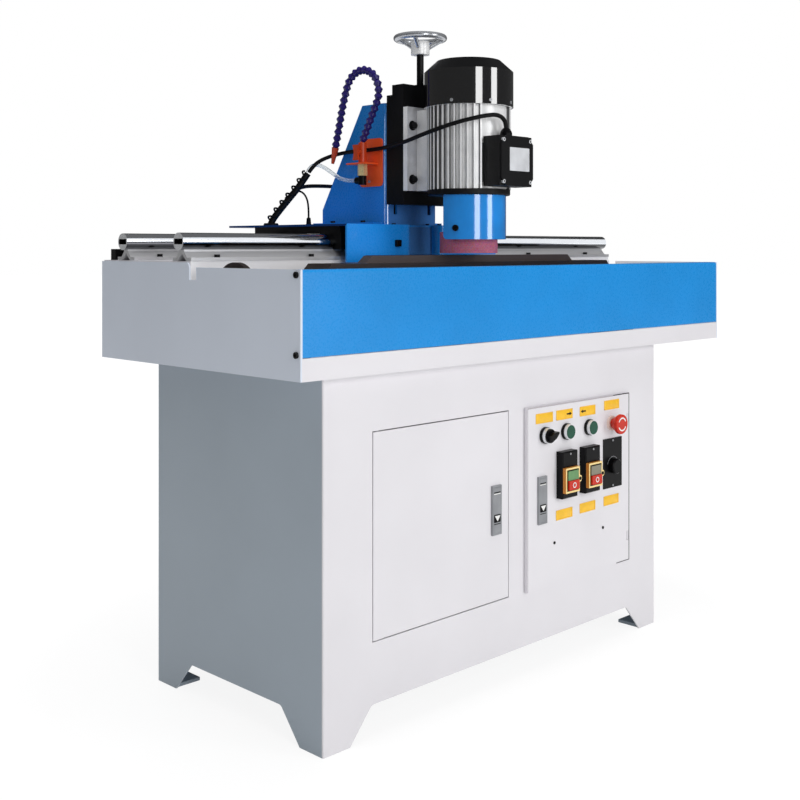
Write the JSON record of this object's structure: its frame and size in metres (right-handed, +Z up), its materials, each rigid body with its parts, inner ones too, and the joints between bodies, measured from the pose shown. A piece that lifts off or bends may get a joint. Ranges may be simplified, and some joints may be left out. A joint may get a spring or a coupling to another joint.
{
  "type": "knife grinding machine",
  "caption": "Floor-standing knife grinder: cabinet with a coolant tray, tilting table, and a motor with cup wheel on a carriage that runs on round rails.",
  "frame": {"origin": "on the floor, centre of the four anchor holes in the cabinet's feet", "axes": "+X to the operator's right along the rails, +Y to the rear, +Z up"},
  "size_m": [1.208, 0.642, 1.2063],
  "materials": {
    "cabinet_front": "satin",
    "cabinet_panels": "satin",
    "cabinet_shelf": "satin",
    "door_hinges": "satin",
    "left_door": "satin",
    "left_latch": "satin",
    "right_door": "satin",
    "right_latch": "satin",
    "control_bezels": "satin",
    "control_boxes": "matte",
    "switch_frames": "gloss",
    "selector_knob": "matte",
    "travel_left_button": "gloss",
    "travel_right_button": "gloss",
    "stop_button": "gloss",
    "grind_on_key": "gloss",
    "grind_off_key": "gloss",
    "pump_on_key": "gloss",
    "pump_off_key": "gloss",
    "speed_knob": "matte",
    "tray_pan": "satin",
    "tray_ends": "satin",
    "front_cover": "satin",
    "rail_bed": "satin",
    "rail_supports": "satin",
    "guide_rails": "polished",
    "frame_screws": "satin",
    "drive_rack": "matte",
    "table_brackets": "matte",
    "knife_table": "matte",
    "clamp_bar": "satin",
    "bearing_blocks": "satin",
    "carriage_base": "matte",
    "carriage_cover": "satin",
    "column": "satin",
    "slide_base": "satin",
    "slide_saddle": "satin",
    "motor_housing": "satin",
    "motor_stator": "satin",
    "motor_flange": "satin",
    "fan_cover": "satin",
    "terminal_box": "satin",
    "guard": "satin",
    "head_bolts": "satin",
    "handwheel": "polished",
    "rotor_shaft": "satin",
    "grinding_wheel": "matte",
    "drive_pinion": "satin",
    "travel_gearmotor": "satin",
    "coolant_tap": "satin",
    "tap_lever": "satin",
    "coolant_hose": "satin",
    "coolant_tank": "satin",
    "coolant_pump": "satin",
    "control_gear": "matte",
    "cable_bundle": "matte",
    "motor_cable": "matte",
    "travel_cable": "matte",
    "sensor_wire": "matte",
    "coolant_tube": "gloss"
  },
  "bodies": {
    "frame": {"cabinet_front": "cabinet_front", "cabinet_panels": "cabinet_panels", "cabinet_shelf": "cabinet_shelf", "door_hinges": "door_hinges", "tray_pan": "tray_pan", "tray_ends": "tray_ends", "front_cover": "front_cover", "rail_bed": "rail_bed", "rail_supports": "rail_supports", "guide_rails": "guide_rails", "frame_screws": "frame_screws", "drive_rack": "drive_rack", "table_brackets": "table_brackets", "coolant_tank": "coolant_tank", "coolant_pump": "coolant_pump", "control_gear": "control_gear"},
    "left_door": {"left_door": "left_door"},
    "left_paddle": {"left_latch": "left_latch"},
    "right_door": {"right_door": "right_door", "control_bezels": "control_bezels", "control_boxes": "control_boxes", "switch_frames": "switch_frames"},
    "right_paddle": {"right_latch": "right_latch"},
    "selector": {"selector_knob": "selector_knob"},
    "travel_left": {"travel_left_button": "travel_left_button"},
    "travel_right": {"travel_right_button": "travel_right_button"},
    "stop": {"stop_button": "stop_button"},
    "grind_on": {"grind_on_key": "grind_on_key"},
    "grind_off": {"grind_off_key": "grind_off_key"},
    "pump_on": {"pump_on_key": "pump_on_key"},
    "pump_off": {"pump_off_key": "pump_off_key"},
    "speed": {"speed_knob": "speed_knob"},
    "table": {"knife_table": "knife_table", "clamp_bar": "clamp_bar"},
    "carriage": {"carriage_cover": "carriage_cover", "carriage_base": "carriage_base", "bearing_blocks": "bearing_blocks", "column": "column", "slide_base": "slide_base", "travel_gearmotor": "travel_gearmotor", "coolant_tap": "coolant_tap", "coolant_hose": "coolant_hose", "cable_bundle": "cable_bundle", "motor_cable": "motor_cable", "travel_cable": "travel_cable", "sensor_wire": "sensor_wire", "coolant_tube": "coolant_tube"},
    "pinion": {"drive_pinion": "drive_pinion"},
    "tap": {"tap_lever": "tap_lever"},
    "head": {"slide_saddle": "slide_saddle", "motor_housing": "motor_housing", "motor_stator": "motor_stator", "motor_flange": "motor_flange", "fan_cover": "fan_cover", "terminal_box": "terminal_box", "guard": "guard", "head_bolts": "head_bolts"},
    "feed": {"handwheel": "handwheel"},
    "spindle": {"rotor_shaft": "rotor_shaft", "grinding_wheel": "grinding_wheel"}
  },
  "joints": [
    {"name": "carriage_travel", "type": "slide", "parent": "frame", "child": "carriage", "axis": [1, 0, 0], "range_m": [-0.3, 0.4]},
    {"name": "pinion_turn", "type": "hinge", "parent": "carriage", "child": "pinion", "pos_m": [0.162, 0.3175, 0.772], "axis": [0, 0, 1], "range_deg": [-1150, 865]},
    {"name": "head_feed", "type": "slide", "parent": "carriage", "child": "head", "axis": [0, 0, 1], "range_m": [0, 0.06], "deforming": ["motor_cable"]},
    {"name": "handwheel_turn", "type": "hinge", "parent": "head", "child": "feed", "pos_m": [0.023, 0.033, 1.2], "axis": [0, 0, 1], "range_deg": [0, 4325]},
    {"name": "spindle_turn", "type": "hinge", "parent": "head", "child": "spindle", "pos_m": [0.023, -0.096, 0.794], "axis": [0, 0, 1], "continuous": true},
    {"name": "table_tilt", "type": "hinge", "parent": "frame", "child": "table", "pos_m": [0.082, -0.058, 0.709], "axis": [1, 0, 0], "range_deg": [-30, 45]},
    {"name": "tap_turn", "type": "hinge", "parent": "carriage", "child": "tap", "pos_m": [-0.0715, 0.1, 0.971], "axis": [1, 0, 0], "range_deg": [0, 90]},
    {"name": "left_door_hinge", "type": "hinge", "parent": "frame", "child": "left_door", "pos_m": [-0.338, -0.22, 0.322], "axis": [0, 0, -1], "range_deg": [0, 110]},
    {"name": "left_paddle_hinge", "type": "hinge", "parent": "left_door", "child": "left_paddle", "pos_m": [-0.0515, -0.2297, 0.3564], "axis": [-1, 0, 0], "range_deg": [0, 35]},
    {"name": "right_door_hinge", "type": "hinge", "parent": "frame", "child": "right_door", "pos_m": [0.3515, -0.231, 0.322], "axis": [0, 0, 1], "range_deg": [0, 110]},
    {"name": "right_paddle_hinge", "type": "hinge", "parent": "right_door", "child": "right_paddle", "pos_m": [0.0695, -0.2377, 0.3564], "axis": [-1, 0, 0], "range_deg": [0, 35]},
    {"name": "selector_turn", "type": "hinge", "parent": "right_door", "child": "selector", "pos_m": [0.079, -0.247, 0.436], "axis": [0, -1, 0], "range_deg": [-45, 45]},
    {"name": "travel_left_press", "type": "slide", "parent": "right_door", "child": "travel_left", "axis": [0, 1, 0], "range_m": [0, 0.003], "stiffness_N_per_m": 1000, "springref_m": -0.001},
    {"name": "travel_right_press", "type": "slide", "parent": "right_door", "child": "travel_right", "axis": [0, 1, 0], "range_m": [0, 0.003], "stiffness_N_per_m": 1000, "springref_m": -0.001},
    {"name": "stop_press", "type": "slide", "parent": "right_door", "child": "stop", "axis": [0, 1, 0], "range_m": [0, 0.005]},
    {"name": "grind_on_press", "type": "slide", "parent": "right_door", "child": "grind_on", "axis": [0, 1, 0], "range_m": [0, 0.003], "stiffness_N_per_m": 1000, "springref_m": -0.001},
    {"name": "grind_off_press", "type": "slide", "parent": "right_door", "child": "grind_off", "axis": [0, 1, 0], "range_m": [0, 0.003], "stiffness_N_per_m": 1000, "springref_m": -0.001},
    {"name": "pump_on_press", "type": "slide", "parent": "right_door", "child": "pump_on", "axis": [0, 1, 0], "range_m": [0, 0.003], "stiffness_N_per_m": 1000, "springref_m": -0.001},
    {"name": "pump_off_press", "type": "slide", "parent": "right_door", "child": "pump_off", "axis": [0, 1, 0], "range_m": [0, 0.003], "stiffness_N_per_m": 1000, "springref_m": -0.001},
    {"name": "speed_turn", "type": "hinge", "parent": "right_door", "child": "speed", "pos_m": [0.2945, -0.243, 0.351], "axis": [0, -1, 0], "range_deg": [-150, 150]}
  ],
  "couplings": [
    {"joint": "pinion_turn", "follows": "carriage_travel", "rad_per_m": -50},
    {"joint": "handwheel_turn", "follows": "head_feed", "rad_per_m": 1256.6}
  ]
}
